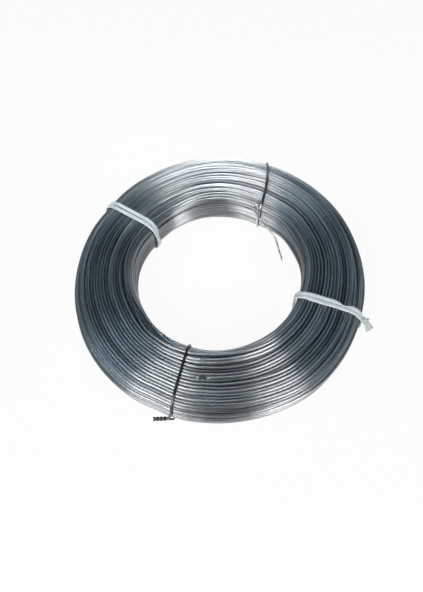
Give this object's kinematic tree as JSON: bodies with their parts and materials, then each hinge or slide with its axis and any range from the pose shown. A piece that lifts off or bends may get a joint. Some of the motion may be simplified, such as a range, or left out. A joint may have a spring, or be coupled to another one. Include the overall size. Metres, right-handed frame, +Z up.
{
  "type": "coil of galvanized fence wire",
  "caption": "Flat coil of galvanized fence wire with an open bore, held by white strings and twisted tie wires, for fencing and tying.",
  "frame": {"origin": "on the coil's axis, at the height of the floor that the coil lies on", "axes": "+Z up along the coil's axis; +X to the right and -Y towards the viewer in the reference view"},
  "size_m": [0.226, 0.226, 0.0366],
  "materials": {
    "galvanized_wire": "drawn and hot-dip galvanized, bright with grey streaks",
    "white_string": "soft white plastic film string, creased along its length",
    "bright_tie_wire": "galvanized, dulled to grey",
    "dark_tie_wire": "annealed dark steel"
  },
  "bodies": {
    "root": {"wire_coil": "galvanized_wire", "string_tie_left": "white_string", "string_tie_right": "white_string", "tie_wire_back": "bright_tie_wire", "tie_wire_front": "dark_tie_wire"}
  },
  "joints": []
}
